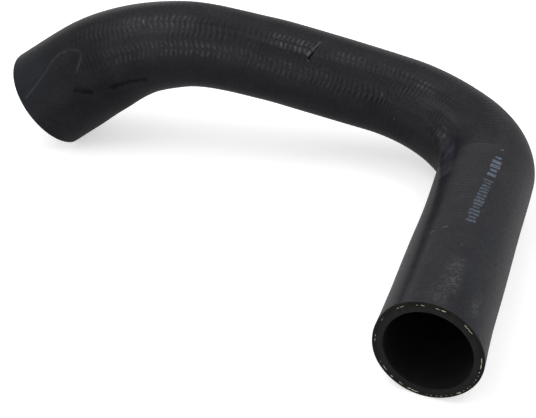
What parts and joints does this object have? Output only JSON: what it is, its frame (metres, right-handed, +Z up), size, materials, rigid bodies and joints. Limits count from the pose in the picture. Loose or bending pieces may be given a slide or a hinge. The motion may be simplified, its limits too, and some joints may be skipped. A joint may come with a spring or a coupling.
{
  "type": "charge air hose",
  "caption": "Moulded black rubber hose with a tight bend, a long curve in another plane and a flared end; it slips over pipes and is held by clamps.",
  "frame": {"origin": "under the middle of the hose's box, on the surface that the hose lies on", "axes": "+Z up; +Y along the near leg from its mouth to the tight bend; the far end lies towards -X"},
  "size_m": [0.3664, 0.2666, 0.1053],
  "materials": {
    "rubber": "satin"
  },
  "bodies": {
    "root": {"hose": "rubber"}
  },
  "joints": []
}
